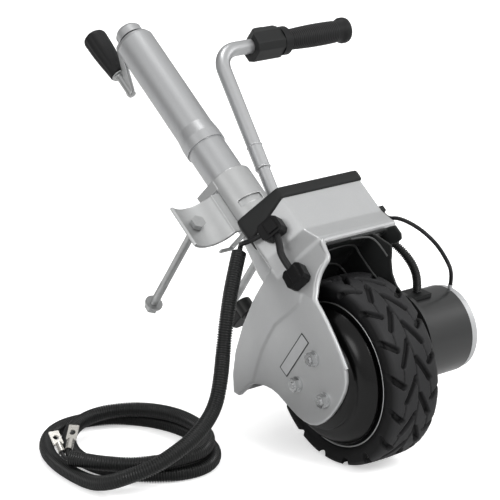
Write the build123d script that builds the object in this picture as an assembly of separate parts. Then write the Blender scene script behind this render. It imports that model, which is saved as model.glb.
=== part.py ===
from build123d import *
import math
import os

# Electric trailer dolly, in millimetres.
# The pieces are drawn upright: X to the front, Y along the wheel axle, Z up the jack tube,
# with zero at the wheel's centre. The last step leans them back about the axle, as the dolly
# is parked, and moves the origin to the middle of the clamp plate's rear face.

lean = 54.0
tyre_radius = 130.0
tyre_width = 85.0
rim_radius = 100.0
rim_bed = 92.0
axle_radius = 10.0
hub_bore = 17.0
bearing_gap = 0.05
tube_radius = 29.0
tube_wall = 3.0
slide_gap = 0.35
spindle_radius = 8.0
socket_top = 250.0
clamp_rise = 43.0
clamp_height = socket_top + clamp_rise
stud_spread = 86.0
stud_radius = 6.0
thread_radius = 5.8
stud_shoulder = 6.2
left_stud_end = -206.0
right_stud_end = -268.0
cheek_outside = -76.0
cheek_thick = 7.0
motor_cheek_inside = 56.0
motor_cheek_thick = 10.0
box_front = 115.0
box_right = 106.0
box_top = 236.0
wall = 4.0
motor_radius = 62.0
motor_start = 92.0
motor_end = 172.0
hose_radius = 10.5
handle_radius = 9.6
bar_radius = 11.0

# Gears: the wheel's ring gear is driven by a pinion on the planet carrier
drive_module = 2.5
ring_teeth = 48
pinion_teeth = 32
motor_angle = 61.0
train_module = 2.0
annulus_teeth = 48
sun_teeth = 12
planet_teeth = 18
bearing_radius = 15.0
motor_offset = drive_module * (ring_teeth - pinion_teeth) / 2
motor_x = motor_offset * math.cos(math.radians(motor_angle))
motor_z = motor_offset * math.sin(math.radians(motor_angle))

# The leaning frame
clamp_face = -17.0
lean_r = math.radians(lean)
origin_x = clamp_face * math.cos(lean_r) - clamp_height * math.sin(lean_r)
origin_z = clamp_face * math.sin(lean_r) + clamp_height * math.cos(lean_r)
floor_z = -origin_z - tyre_radius
place = Pos(-origin_x, 0, -origin_z) * Rot(0, -lean, 0)

os.makedirs("parts", exist_ok=True)


def save(name, *shapes):
    solids = [s for shape in shapes for s in (place * shape).solids()]
    export_step(solids[0] if len(solids) == 1 else Compound(children=solids), f"parts/{name}.step")


def save_on_floor(name, *shapes):
    solids = [s for shape in shapes for s in (Pos(-origin_x, 0, floor_z) * shape).solids()]
    export_step(solids[0] if len(solids) == 1 else Compound(children=solids), f"parts/{name}.step")


def post(r, z0, z1, x=0, y=0):
    return Pos(x, y, (z0 + z1) / 2) * Cylinder(r, z1 - z0)


def pipe(r, bore, z0, z1, x=0, y=0):
    return post(r, z0, z1, x, y) - post(bore, z0 - 1, z1 + 1, x, y)


def disc(r, y0, y1, x=0, z=0):
    return Pos(x, (y0 + y1) / 2, z) * Rot(90, 0, 0) * Cylinder(r, y1 - y0)


def ring(r, bore, y0, y1, x=0, z=0):
    return disc(r, y0, y1, x, z) - disc(bore, y0 - 1, y1 + 1, x, z)


def bar_x(r, x0, x1, y=0, z=0):
    return Pos((x0 + x1) / 2, y, z) * Rot(0, 90, 0) * Cylinder(r, x1 - x0)


def block(x0, x1, y0, y1, z0, z1):
    return Pos((x0 + x1) / 2, (y0 + y1) / 2, (z0 + z1) / 2) * Box(x1 - x0, y1 - y0, z1 - z0)


# A side outline, as X and Z pairs, given its thickness along the axle
def side_plate(points, y0, y1, radius=0):
    face = Polygon(*points, align=None)
    if radius:
        face = fillet(face.vertices(), radius)
    return Pos(0, y1, 0) * extrude(Plane.XZ * face, y1 - y0, dir=(0, -1, 0))


# A plan outline, as X and Y pairs, given its height
def plan_plate(points, z0, z1):
    return Pos(0, 0, z0) * extrude(Polygon(*points, align=None), z1 - z0, dir=(0, 0, 1))


def turned(points, x=0, y=0):
    return Pos(x, y, 0) * revolve(Plane.XZ * Polygon(*points, align=None), Axis.Z)


def hexagon(across, height):
    return extrude(RegularPolygon(across / math.sqrt(3), 6), height)


def along_y(shape, y, x=0, z=0):
    return Pos(x, y, z) * Rot(-90, 0, 0) * shape


# Gear outline with straight-sided teeth; a tooth or, for a cutter, a space lies at the phase
def gear_face(module, teeth, phase=0, cutter=False):
    pitch = module * teeth / 2
    tip = pitch + module * (1.15 if cutter else 0.8)
    root = pitch - module * (0.8 if cutter else 1.15)
    half = 90 / teeth * (1.14 if cutter else 0.86)
    points = []
    for i in range(teeth):
        middle = phase + i * 360 / teeth
        for r, share in ((root, -1.35), (tip, -0.55), (tip, 0.55), (root, 1.35)):
            a = math.radians(middle + share * half)
            points.append((r * math.cos(a), r * math.sin(a)))
    return Polygon(*points, align=None)


def gear(module, teeth, y0, y1, x=0, z=0, phase=0, cutter=False):
    face = gear_face(module, teeth, phase, cutter)
    return Pos(x, y1, z) * extrude(Plane.XZ * face, y1 - y0, dir=(0, -1, 0))


hub_bolt_circle = 33.5
bolt_radius = 5.0
cheek_inside = cheek_outside + cheek_thick
hub_bolts = [(hub_bolt_circle * math.cos(math.radians(a)), hub_bolt_circle * math.sin(math.radians(a)))
             for a in (30, 150, 270)]

# Clutch lever's pivot on the deck, and the handle's slanting axis beside the jack tube
clutch_at = (-100, -20)
clutch_radius = 8.0
clutch_pin = 4.0
clutch_seat = 181.0
pin_gap = 0.05
handle_low = 205.0
handle_point = (10.0, 54.8, 324.4)
handle_slope = (33 / 185, 22 / 185)


def handle_at(z):
    rise = z - handle_point[2]
    return Vector(handle_point[0] + rise * handle_slope[0], handle_point[1] + rise * handle_slope[1], z)


def rod(r, start, end):
    along = Vector(*end) - Vector(*start)
    return Plane(origin=start, z_dir=along) * Pos(0, 0, along.length / 2) * Cylinder(r, along.length)


# Cuts the corners of an open outline, for the rounder shape of a casting
def eased(points):
    made = [points[0]]
    for a, b in zip(points, points[1:]):
        made += [(a[0] * 0.75 + b[0] * 0.25, a[1] * 0.75 + b[1] * 0.25), (a[0] * 0.25 + b[0] * 0.75, a[1] * 0.25 + b[1] * 0.75)]
    return made + [points[-1]]


# Fork: side cheek with its toe, deck, front box and socket, cast in one. A slanting shoulder joins
# the cheek's front edge to the left end of the box's lip.
deck_top = [(58, 153), (-10, 151), (-60, 144), (-104, 132), (-136, 116), (-157, 98)]
shoulder_top = (56, 140)
shoulder_foot = (94, 68)
shoulder_tip = (131, -36.604, 139)
shoulder_thick = 8.0
cheek_outline = deck_top + eased([
    (-151, 87), (-130, 83), (-112, 80), (-93, 62), (-80, 42), (-74, 12), (-67, -18),
    (-52, -42), (-22, -54), (16, -56), (50, -50), (69, -33), (77, -10), (86, 20), (92, 46), shoulder_foot,
]) + [shoulder_top]
box_plan = [(38, -60), (58, cheek_outside), (box_front, -36), (box_front, box_right), (38, box_right)]
lip_front = 131.0
lip_right = 97.0
lip_plan = [(38, -66), (60, cheek_outside), (lip_front, -38.5), (lip_front, lip_right), (38, box_right)]
inner_box = [(38 + wall, -54), (59, -70), (box_front - wall, -34), (box_front - wall, box_right - wall), (38 + wall, box_right - wall)]
inner_lip = [(38 + wall, -60), (61, -70), (lip_front - wall, -35), (lip_front - wall, lip_right - wall), (38 + wall, box_right - wall)]
socket_low = 39.0
socket_high = 31.5
deck_low = 146.0
inner_radius = tube_radius - tube_wall - slide_gap


def lofted(lower, upper, z0, z1):
    a = Pos(0, 0, z0) * Polygon(*lower, align=None)
    b = Pos(0, 0, z1) * Polygon(*upper, align=None)
    return loft([a, b], ruled=True)


flare = 166.0
lip_top = 139.0
lip_low = 128.0


def front_box():
    outer = plan_plate(box_plan, flare, box_top) + lofted(lip_plan, box_plan, lip_top, flare) + plan_plate(lip_plan, lip_low, lip_top)
    inner = plan_plate(inner_box, flare, box_top - wall)
    inner += lofted(inner_lip, inner_box, lip_top, flare)
    inner += plan_plate(inner_lip, lip_low - 1, lip_top)
    return outer - inner - block(30, 57, -72, motor_cheek_inside, lip_low - 1, deck_low)


# The plane of the shoulder's outer face, with its height outwards
def shoulder_seat():
    top = Vector(shoulder_top[0], cheek_outside, shoulder_top[1])
    foot = Vector(shoulder_foot[0], cheek_outside, shoulder_foot[1])
    return Plane(origin=top, x_dir=foot - top, z_dir=(foot - top).cross(Vector(*shoulder_tip) - top).normalized())


def shoulder():
    seat = shoulder_seat()
    edge = [Vector(x, cheek_outside, z) for x, z in (shoulder_top, shoulder_foot)] + [
            Vector(98, -71.5, 74), Vector(103.5, -66.5, 84), Vector(112.9, -58.4, 95.3), Vector(121.7, -52.2, 100.6),
            Vector(128, -48.9, 100.9), Vector(131.6, -46, 104), Vector(132.7, -42.7, 113.9), Vector(132.9, -38.9, 127.1), Vector(*shoulder_tip)]
    points = [seat.to_local_coords(p) for p in edge]
    return seat * Pos(0, 0, -shoulder_thick) * extrude(Polygon(*[(p.X, p.Y) for p in points], align=None), shoulder_thick, dir=(0, 0, 1))


def deck():
    under = [(x * 0.965, z - 6) for x, z in reversed(deck_top)]
    return side_plate(deck_top + under, cheek_outside, motor_cheek_inside + motor_cheek_thick)


patch_rise = 1.6


def fork_casting():
    cheek = side_plate(cheek_outline, cheek_outside, cheek_outside + cheek_thick)
    crease = [(82, 88), (68, 84), (41, 89), (0, 99), (-27, 98), (-53, 95), (-79, 88), (-108, 80)]
    raised = side_plate(deck_top + [(-151, 87), (-130, 83)] + crease[::-1] + [(58, 134)],
                        cheek_outside - patch_rise, cheek_outside)
    socket = turned([(0, deck_low), (socket_low, deck_low), (socket_low, 196), (socket_high, socket_top), (0, socket_top)])
    web = side_plate([(20, 150), (50, 150), (50, 222), (24, 222)], -8, 60)
    shape = cheek + raised + deck() + front_box() + shoulder() + socket + web
    shape -= post(inner_radius + bearing_gap, deck_low - 20, socket_top + 10)
    for x, z in hub_bolts:
        shape -= disc(bolt_radius, cheek_outside - 5, cheek_inside + 1, x, z)
    shape += rod(handle_radius + wall, handle_at(deck_low + 4), handle_at(box_top))
    shape += post(clutch_radius, 129, clutch_seat, *clutch_at)
    shape -= post(clutch_pin + pin_gap, clutch_seat - 25, clutch_seat + 1, *clutch_at)
    shape -= post(inner_radius + bearing_gap, deck_low - 20, socket_top + 10)
    return shape - rod(handle_radius, handle_at(handle_low), handle_at(box_top + 40))


# Motor side cheek, which carries the gearbox and the drive pinion's bearing
def motor_cheek():
    y0 = motor_cheek_inside
    y1 = y0 + motor_cheek_thick
    outline = [(60, 145), (-10, 145), (-60, 138), (-80, 90), (-62, 30), (-46, -30), (-10, -46),
               (30, -44), (56, -20), (72, 20), (82, 50), (90, 72), (98, 92), (104, 118), (62, 122)]
    shape = side_plate(outline, y0, y1) - disc(bearing_radius, y0 - 1, y1 + 1, motor_x, motor_z)
    return shape - deck() - front_box()


def cover():
    plan = Polygon(*box_plan, align=None)
    room = Pos(0, 0, 190) * extrude(plan, box_top - 190)
    shape = Pos(0, 0, 224) * extrude(offset(plan, 2.8), box_top + 4.5 - 224)
    arm = plan_plate([(30, -58), (57, -79.5), (104, -47), (100, -36), (40, -40)], 201, 224)
    arm -= side_plate([(20, 190), (20, 196), (57, 203), (110, 218), (125, 190)], -100, -20)
    return shape + arm - room - post(socket_low + 0.5, 200, 300)


arch = [(133.5, 125.5), (108, 134), (70, 141.5), (0, 142.5), (-60, 136), (-100, 122), (-138, 98)]
liner_wall = 3.0


def liner():
    under = [(x * 0.978, z - liner_wall) for x, z in reversed(arch)]
    shape = side_plate(arch + under, -66, 55)
    front = arch[:2] + [(102, 135.2)]
    low = [(x * 0.978, z - liner_wall) for x, z in reversed(front)]
    shape += side_plate(front + low, 55, 78)
    side_wall = [(131, 124.5), (146.6, 89), (138, 82), (127.9, 75.8), (116, 64), (109.5, 47.7), (109.5, 33.4), (99, 29), (92, 60),
                 (74, 92), (40, 118), (0, 130), (0, 141), (70, 140), (100, 134)]
    shape += side_plate(side_wall, 50, 50 + liner_wall)
    ear = [(112, 130), (131, 127.5), (139, 123.5), (149, 117), (149.4, 102), (143.6, 96), (132, 99), (120, 106), (110, 116)]
    shape = shape + side_plate(ear, 78 - liner_wall, 78) - front_box()
    shape -= shoulder_seat() * Pos(0, 0, 60 - shoulder_thick - 0.3) * Box(500, 500, 120)
    return shape.solids().sort_by(SortBy.VOLUME)[-1]


# Wheel
def tyre():
    half = tyre_width / 2
    profile = [(rim_bed, -31), (rim_radius, -33.6), (rim_radius, -36), (rim_radius + 4, -39), (rim_radius + 12, -half),
               (tyre_radius - 8, -half + 1), (tyre_radius - 3, -38), (tyre_radius, -30), (tyre_radius, 30),
               (tyre_radius - 3, 38), (tyre_radius - 8, half - 1), (rim_radius + 12, half), (rim_radius + 4, 39),
               (rim_radius, 36), (rim_radius, 33.6), (rim_bed, 31), (rim_bed, 20), (rim_radius + 4, 26),
               (tyre_radius - 14, 26), (tyre_radius - 14, -26), (rim_radius + 4, -26), (rim_bed, -20)]
    body = Rot(-90, 0, 0) * turned(profile)
    blocks = 16
    groove = 8.5
    depth = 6.0
    cuts = []
    for i in range(blocks):
        for side in (-1, 1):
            cut = Pos(tyre_radius, side * 26, 0) * Rot(side * 38, 0, 0) * Box(2 * depth, 52, groove)
            cuts.append(Rot(0, i * 360 / blocks, 0) * cut)
    return body - cuts


def rim():
    profile = [(hub_bore, -14), (28, -14), (32, 4), (70, 6), (84, 2), (84, -30), (rim_radius, -36), (rim_radius, -33.6),
               (rim_bed, -31), (rim_bed, 31), (rim_radius, 33.6), (rim_radius, 36), (84, 30), (84, 12), (32, 12), (28, 30), (hub_bore, 30)]
    body = Rot(-90, 0, 0) * turned([(r, -y) for r, y in profile])
    pocket = Pos(55, 8, 0) * Rot(90, 0, 0) * Cylinder(9, 12)
    return body - [Rot(0, i * 60, 0) * pocket for i in range(6)]


save("fork_casting", fork_casting())
save("motor_side_cheek", motor_cheek())
save("top_cover", cover())
cover_screws = [(104, -22), (104, 96), (46, 96), (52, -62)]
save("cover_screws", *[post(4.0, box_top + 4.5, box_top + 7, x, y) for x, y in cover_screws])
save("wheel_arch_liner", liner())
save("tyre", tyre())
save("rim", rim())


# Stub axle with its flange behind the cheek, its bearings, and the round cover on the hub
flange_face = cheek_inside + 8.0
axle_end = 17.5
bolt_head = cheek_outside - 3.0


def stub_axle():
    shape = disc(45, cheek_inside, flange_face) + disc(axle_radius, flange_face, axle_end)
    for x, z in hub_bolts:
        shape -= disc(bolt_radius, cheek_inside - 1, flange_face + 1, x, z)
    return shape - ring(axle_radius + 1, axle_radius - 1, 13.6, 15.2)


def hub_cover():
    profile = [(45, cheek_inside), (70, cheek_inside), (70, -60), (80, -60), (84, -56), (97, -40.5), (93.5, -40.5), (81.5, -54),
               (78, -56.5), (45, -56.5)]
    return Rot(-90, 0, 0) * turned(profile)


def hub_bolt_set():
    made = []
    for x, z in hub_bolts:
        shank = disc(bolt_radius, bolt_head, flange_face, x, z)
        head = along_y(hexagon(17, 7), bolt_head - 7, x, z)
        made.append(shank + head + disc(4.4, bolt_head - 9, bolt_head - 7, x, z))
    return made


save("stub_axle", stub_axle())
save("hub_cover", hub_cover())
save("hub_bolts", *hub_bolt_set())
save("spring_washers", *[ring(11, bolt_radius, bolt_head, cheek_outside, x, z) for x, z in hub_bolts])
bearing_bore = axle_radius + bearing_gap
save("wheel_bearings", ring(hub_bore, bearing_bore, -28, -16), ring(hub_bore, bearing_bore, 1, 13))
save("axle_clip", ring(14, axle_radius - 1, 13.7, 15.1) - block(0, 20, 10, 20, -4, 4))


# Drive: ring gear in the rim, pinion on the planet carrier, planets round the motor's sun gear
housing_radius = 60.0
housing_bore = 52.0
motor_flange_face = 86.0
carrier_radius = 42.0
pinion_shaft = 9.0
planet_pin = 5.0
planet_distance = train_module * (sun_teeth + planet_teeth) / 2
cheek_face = motor_cheek_inside + motor_cheek_thick


def ring_gear():
    return disc(84, 13, 30) - gear(drive_module, ring_teeth, 12, 31, 0, 0, motor_angle, True)


def planet_places():
    angles = [math.radians(a) for a in (0, 120, 240)]
    return [(motor_x + planet_distance * math.cos(a), motor_z + planet_distance * math.sin(a)) for a in angles]


def planet_carrier():
    shape = disc(carrier_radius, cheek_face + 1, cheek_face + 5, motor_x, motor_z)
    shape += disc(pinion_shaft, 32, cheek_face + 1, motor_x, motor_z)
    for x, z in planet_places():
        shape += disc(planet_pin, cheek_face + 5, motor_flange_face - 1, x, z)
    return shape


def planet(i):
    x, z = planet_places()[i]
    shape = gear(train_module, planet_teeth, 72, 84, x, z, i * 120 + 10)
    return shape - disc(planet_pin + bearing_gap, 70, 86, x, z)


def gearbox_housing():
    shape = ring(housing_radius, housing_bore, cheek_face, motor_flange_face, motor_x, motor_z)
    teeth = disc(housing_bore, 71.5, 84.5, motor_x, motor_z)
    teeth -= gear(train_module, annulus_teeth, 70, 86, motor_x, motor_z, 180 / annulus_teeth, True)
    flange = disc(72, motor_flange_face, motor_start, motor_x, motor_z) - disc(9, 80, 100, motor_x, motor_z)
    return shape + teeth + flange


save("ring_gear", ring_gear())
save("drive_pinion", gear(drive_module, pinion_teeth, 20, 32, motor_x, motor_z, motor_angle))
save("planet_carrier", planet_carrier())
save("pinion_bearing", ring(bearing_radius, pinion_shaft + bearing_gap, motor_cheek_inside, cheek_face, motor_x, motor_z))
for i in range(3):
    save(f"planet_gear_{i + 1}", planet(i))
save("gearbox_housing", gearbox_housing())


# Motor
can_wall = 4.0
shaft_radius = 5.0
magnet_thick = 8.0
end_cap_thick = 11.0


def on_motor(r, y0, y1):
    return disc(r, y0, y1, motor_x, motor_z)


def magnets():
    shell = on_motor(motor_radius - can_wall, 100, 162) - on_motor(motor_radius - can_wall - magnet_thick, 99, 163)
    gap = Box(200, 80, 14)
    for angle in (45, 135):
        shell -= Pos(motor_x, 130, motor_z) * Rot(0, angle, 0) * gap
    return shell


gland_reach = 68.0
gland_angle = 27.0


def at_gland(reach):
    a = math.radians(gland_angle)
    return Vector(motor_x + reach * math.cos(a), motor_end + 3.5, motor_z + reach * math.sin(a))


def motor_end_cap():
    shape = on_motor(motor_radius - 2, motor_end, motor_end + end_cap_thick)
    shape -= on_motor(shaft_radius + bearing_gap, motor_end - 1, motor_end + 4)
    shape -= on_motor(motor_radius - 14, motor_end + end_cap_thick - 2, motor_end + end_cap_thick + 1)
    shape += on_motor(14, motor_end + 4, motor_end + end_cap_thick)
    return shape + rod(3.4, at_gland(50), at_gland(gland_reach))


def armature():
    shape = on_motor(40, 106, 150) + on_motor(18, 154, 166)
    for i in range(12):
        slot = Pos(motor_x, 128, motor_z) * Rot(0, i * 30, 0) * Pos(37, 0, 0) * Box(8, 60, 3)
        shape -= slot
    return shape - on_motor(shaft_radius, 100, 170)


def terminal_cover():
    box = Pos(motor_x, 114, motor_z) * Rot(0, -33, 0) * Pos(63.75, 0, 0) * Box(5.5, 36, 30)
    return box - on_motor(motor_radius, 90, 160)


save("motor_can", on_motor(motor_radius, motor_start, motor_end) - on_motor(motor_radius - can_wall, 90, 180))
save("motor_magnets", magnets())
save("motor_end_cap", motor_end_cap())
save("end_cap_screws", *[disc(3.5, motor_end + end_cap_thick, motor_end + end_cap_thick + 2.5,
                              motor_x + 54 * math.cos(a), motor_z + 54 * math.sin(a)) for a in (0.3, 2.39, 4.49)])
save("armature", armature())
sun = gear(train_module, sun_teeth, 72, 85, motor_x, motor_z, 0)
save("armature_shaft", sun + on_motor(shaft_radius, 85, motor_end + 3.5))
save("terminal_cover", terminal_cover())


# Jack: two outer tubes with a bell joint, the inner tube from the fork, and the screw
tube_bore = tube_radius - tube_wall
lower_end = socket_top + 2
bell_at = 411.0
jack_top = 618.0
nut_low = 560.0


grip_at = (-66, -4.5)


def upper_tube():
    lip = tube_radius + 2
    return turned([(tube_radius, bell_at), (lip, bell_at), (lip, bell_at + 16), (tube_radius, bell_at + 34),
                   (tube_radius, jack_top), (tube_bore, jack_top), (tube_bore, bell_at + 15), (tube_radius, bell_at + 15)])


def tube_cap():
    shape = turned([(0, jack_top - 6), (tube_bore, jack_top - 6), (tube_bore, jack_top), (tube_radius, jack_top),
                    (tube_radius, jack_top + 6), (tube_radius - 3, jack_top + 12), (tube_radius - 9, jack_top + 16), (0, jack_top + 16)])
    return shape - post(spindle_radius + 0.35, 600, 650)


def crank_arm():
    x, y = grip_at
    top = side_plate([(-6, 637), (-6, 650), (-34, 650), (-40, 640), (-30, 637)], y - 3, y + 3)
    slant = side_plate([(-40, 640), (-27, 640), (-58, 584), (-74, 590)], y - 3, y + 3)
    shape = top + slant + disc(8.5, y - 3, y + 3, x, 588.5)
    shape += post(6.5, 581, 621, x, y) + post(12, 621, 623, x, y) + post(4, 623, 700, x, y)
    return shape + post(7, 700, 703, x, y)


def crank_hub():
    shape = turned([(0, 636), (20.5, 636), (20.5, 647.5), (17, 652), (10, 654.3), (0, 655)])
    return shape - post(spindle_radius, 630, 648) - crank_arm()


def crank_grip():
    shape = turned([(4 + pin_gap, 623.4), (13.5, 623.4), (14.5, 628), (17, 655), (18.7, 685), (19, 696), (17, 704), (12, 707),
                    (8, 707), (8, 699.6), (4 + pin_gap, 699.6)], *grip_at)
    return shape


save("inner_tube", pipe(inner_radius, inner_radius - 3, deck_low, 590))
save("spindle_nut", pipe(inner_radius - 3, spindle_radius + bearing_gap, nut_low, nut_low + 25))
save("spindle", post(spindle_radius, 200, 648) + post(14, 591, 599.9))
save("lower_jack_tube", pipe(tube_radius, tube_bore, lower_end, bell_at + 14))
save("upper_jack_tube", upper_tube())
save("tube_end_cap", tube_cap())
save("thrust_bearing", pipe(tube_bore, spindle_radius + bearing_gap, 600, 611.5))
save("crank_hub", crank_hub())
save("crank_arm", crank_arm() - post(spindle_radius, 600, 648))
save("crank_grip", crank_grip())


# Trailer clamp: a saddle on the jack tube, the winged plate under it, and two long bolts
saddle_thick = 2.6
saddle_inside = 32.6
saddle_low = socket_top - 4
plate_low = socket_top + 6
wing_centre = (30.8, -84.2)
wing_inside = 42.8
plate_thick = 5.0


def sector(r, bore, z0, z1, from_angle, to_angle):
    points = [(0, 0)]
    for i in range(9):
        a = math.radians(from_angle + (to_angle - from_angle) * i / 8)
        points.append((2 * r * math.cos(a), 2 * r * math.sin(a)))
    return pipe(r, bore, z0, z1) & plan_plate(points, z0 - 1, z1 + 1)


def clamp_saddle():
    r = saddle_inside + saddle_thick
    shape = sector(r, saddle_inside, saddle_low, clamp_height + 54, -77, 77)
    shape -= block(0, 50, -60, 9, clamp_height - 8, clamp_height + 2) & sector(r + 5, 20, 200, 400, -50, 15)
    shape += sector(r, tube_radius, clamp_height + 38, clamp_height + 54, -77, 77)
    shape += sector(r, tube_radius, lower_end, lower_end + 3.5, -77, 77)
    strip = [(9.5, -32.0), (10.2, -34.4), (-25, -46.5), (-26, -43.6)]
    shape += plan_plate(strip, clamp_height + 38, clamp_height + 54) + plan_plate(strip, saddle_low + 1, saddle_low + 8.5)
    return shape + block(-26, -20, -67, -43, saddle_low + 1, saddle_low + 5)


def clamp_plate():
    z0 = plate_low
    z1 = clamp_height + 33
    x, y = wing_centre
    shape = pipe(32.4, tube_radius, z0, z1) & block(3, 60, -60, 60, z0, z1)
    shape += block(3, 7.3, -49, -30, z0, z1) - post(tube_radius, z0 - 1, z1 + 1)
    arc = pipe(wing_inside + plate_thick, wing_inside, z0, z1, x, y)
    fan = [(x, y), (x - 45, y + 71), (x - 90, y + 60), (x - 90, y - 20), (x - 70, y - 67.7)]
    shape += arc & plan_plate(fan, z0, z1)
    far = pipe(32.4, tube_radius, z0 + 6, z1 - 6) & block(clamp_face, 4, 10, 60, z0 + 6, z1 - 6)
    shape += far + block(clamp_face, clamp_face + plate_thick, 25, 100, z0 + 6, z1 - 6) - post(tube_radius, z0 - 1, z1 + 1)
    for side in (-1, 1):
        shape -= bar_x(stud_radius + 0.3, clamp_face - 10, 40, side * stud_spread, clamp_height)
    return shape


def stud(side, end):
    seat = clamp_face + plate_thick
    if side < 0:
        seat += wing_inside - math.sqrt(wing_inside ** 2 - 13 ** 2)
    nut_face = end + 17.4
    shank = bar_x(thread_radius, end, nut_face, side * stud_spread, clamp_height)
    shank += bar_x(stud_radius, nut_face, clamp_face, side * stud_spread, clamp_height)
    shank += bar_x(stud_shoulder, clamp_face, seat, side * stud_spread, clamp_height)
    head = Pos(seat, side * stud_spread, clamp_height) * Rot(0, 90, 0) * hexagon(19, 8)
    return shank + head


def stud_nut(side, end):
    place_nut = Pos(end + 4, side * stud_spread, clamp_height) * Rot(0, 90, 0)
    shape = place_nut * (hexagon(19, 10) + Pos(0, 0, 11.5) * Cylinder(13.5, 3))
    return shape - bar_x(thread_radius, end - 5, end + 40, side * stud_spread, clamp_height)


save("clamp_saddle", clamp_saddle())
save("clamp_plate", clamp_plate())
save("clamp_bolts", stud(-1, left_stud_end), stud(1, right_stud_end))
save("clamp_nuts", stud_nut(-1, left_stud_end), stud_nut(1, right_stud_end))


# Handle: slanting stem, bent bar, switch box with its rocker, collar and grip
bar_line = (handle_at(544.0).X, 544.0)
joint_height = 383.0
bend_radius = 38.0
bar_end = 330.0
box_start = 144.0
box_end = 197.5


def on_bar(shape):
    return Pos(bar_line[0], 0, bar_line[1]) * shape


def handle_bar():
    corner = handle_at(bar_line[1])
    path = FilletPolyline(handle_at(joint_height), corner, (bar_line[0], bar_end, bar_line[1]), radius=bend_radius)
    return sweep(Plane(origin=path @ 0, z_dir=path % 0) * Circle(bar_radius), path=path)


def switch_housing():
    outline = [(-22, -12), (-14, -20), (10, -20), (19, -12), (21, 8), (14, 22), (-10, 25), (-22, 12)]
    shape = on_bar(side_plate(outline, box_start, box_end))
    shape -= on_bar(disc(bar_radius, box_start - 1, box_end + 1))
    shape -= on_bar(block(-12.5, 12.5, 162, 178, 12.8, 40))
    for wedge in (((143, 4), (162, 30), (143, 30)), ((190, 31), (199, 14), (199, 31))):
        shape -= on_bar(Pos(-30, 0, 0) * extrude(Plane.YZ * Polygon(*wedge, align=None), 60, dir=(1, 0, 0)))
    return shape - on_bar(disc(1.5 + pin_gap, 159, 181, 0, 18.5))


def switch_rocker():
    outline = [(-10.5, 25), (-10.5, 21.5), (-5, 17), (0, 15), (5, 17), (10.5, 21.5), (10.5, 25), (0, 22.5)]
    return on_bar(side_plate(outline, 162.4, 177.6) + disc(1.5, 160, 180, 0, 18.5))


def grip():
    y0 = box_end + 12.5
    return on_bar(Rot(-90, 0, 0) * turned([(bar_radius, y0), (15.4, y0), (17.2, y0 + 25), (18, y0 + 50), (17.6, y0 + 78), (16.5, y0 + 104), (17.4, y0 + 108),
                                           (20.2, y0 + 111), (20.2, y0 + 119), (17, y0 + 123), (0, y0 + 123), (0, bar_end), (bar_radius, bar_end)]))


sleeve = rod(handle_radius + 1.6, handle_at(joint_height - 36), handle_at(joint_height))
save("handle_stem", rod(handle_radius, handle_at(handle_low), handle_at(joint_height)) + sleeve)
save("handle_bar", handle_bar())
save("switch_housing", switch_housing())
save("switch_rocker", switch_rocker())
save("grip_collar", on_bar(ring(22, bar_radius, box_end, box_end + 12.5)))
save("handle_grip", grip())


# Clutch lever on the deck's rear end
def clutch_lever():
    x, y = clutch_at
    shape = post(13, clutch_seat + 0.3, clutch_seat + 24, x, y)
    arm = [(-8, -12), (-30, -16), (-36, -6), (-34, 6), (-8, 12)]
    shape += plan_plate([(x + a, y + b) for a, b in arm], clutch_seat + 4, clutch_seat + 20)
    return shape + post(clutch_pin, clutch_seat - 22, clutch_seat + 0.3, x, y)


save("clutch_lever", clutch_lever())


# Connectors, clip and cords on the dolly. A cord's path is straight runs joined by tangent arcs,
# each as large as its two runs allow.
def tangent_radii(points):
    radii = []
    for a, b, c in zip(points, points[1:], points[2:]):
        before, after = b - a, c - b
        turn = math.radians(before.get_angle(after))
        radii.append(0.45 * min(before.length, after.length) / math.tan(turn / 2))
    return radii


def cord_path(name, points):
    points = [Vector(*p) for p in points]
    radii = tangent_radii(points)
    path = FilletPolyline(*points, radius=radii)
    print(name, "length", round(path.length, 1), "radii", [round(r) for r in radii])
    return path


def section_at(path, distance, r, steady):
    share = distance / path.length
    along = path % share
    return Plane(origin=path @ share, x_dir=steady - along * steady.dot(along), z_dir=along) * Circle(r)


def tube(path, r):
    return sweep(Plane(origin=path @ 0, z_dir=path % 0) * Circle(r), path=path)


# Ribbed tube: four circles for each rib, lofted with straight sides, and a smooth bore
def ribbed_tube(path, r, depth, count, bore, steady):
    pitch = path.length / count
    circles = []
    for i in range(count):
        for share, size in ((0, r - depth), (0.2, r), (0.6, r), (0.8, r - depth)):
            circles.append(section_at(path, (i + share) * pitch, size, steady))
    circles.append(section_at(path, path.length, r - depth, steady))
    return loft(circles, ruled=True) - tube(path, bore)


def lead_connector():
    wall_point = Plane(origin=(86.5, -56, 192), x_dir=(0.819, 0.574, 0), z_dir=(0.574, -0.819, 0))
    body = wall_point * Pos(0, 0, 11.2) * Box(34, 26, 22)
    body = chamfer(body.edges().filter_by(lambda e: e.length < 23), 5)
    latch = wall_point * Pos(4, 0, 24) * Box(16, 18, 4)
    return body + latch


def link_connector():
    seat = Plane(origin=(87.64, -67.97, 109.02), x_dir=(0.884, 0.468, 0.0), z_dir=(0.454, -0.858, 0.24))
    body = chamfer((seat * Pos(0, 0, 8) * Box(32, 30, 16)).edges().filter_by(lambda e: e.length < 17), 5)
    return body + seat * Pos(2, 0, 17.5) * Box(14, 22, 3)


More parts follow.
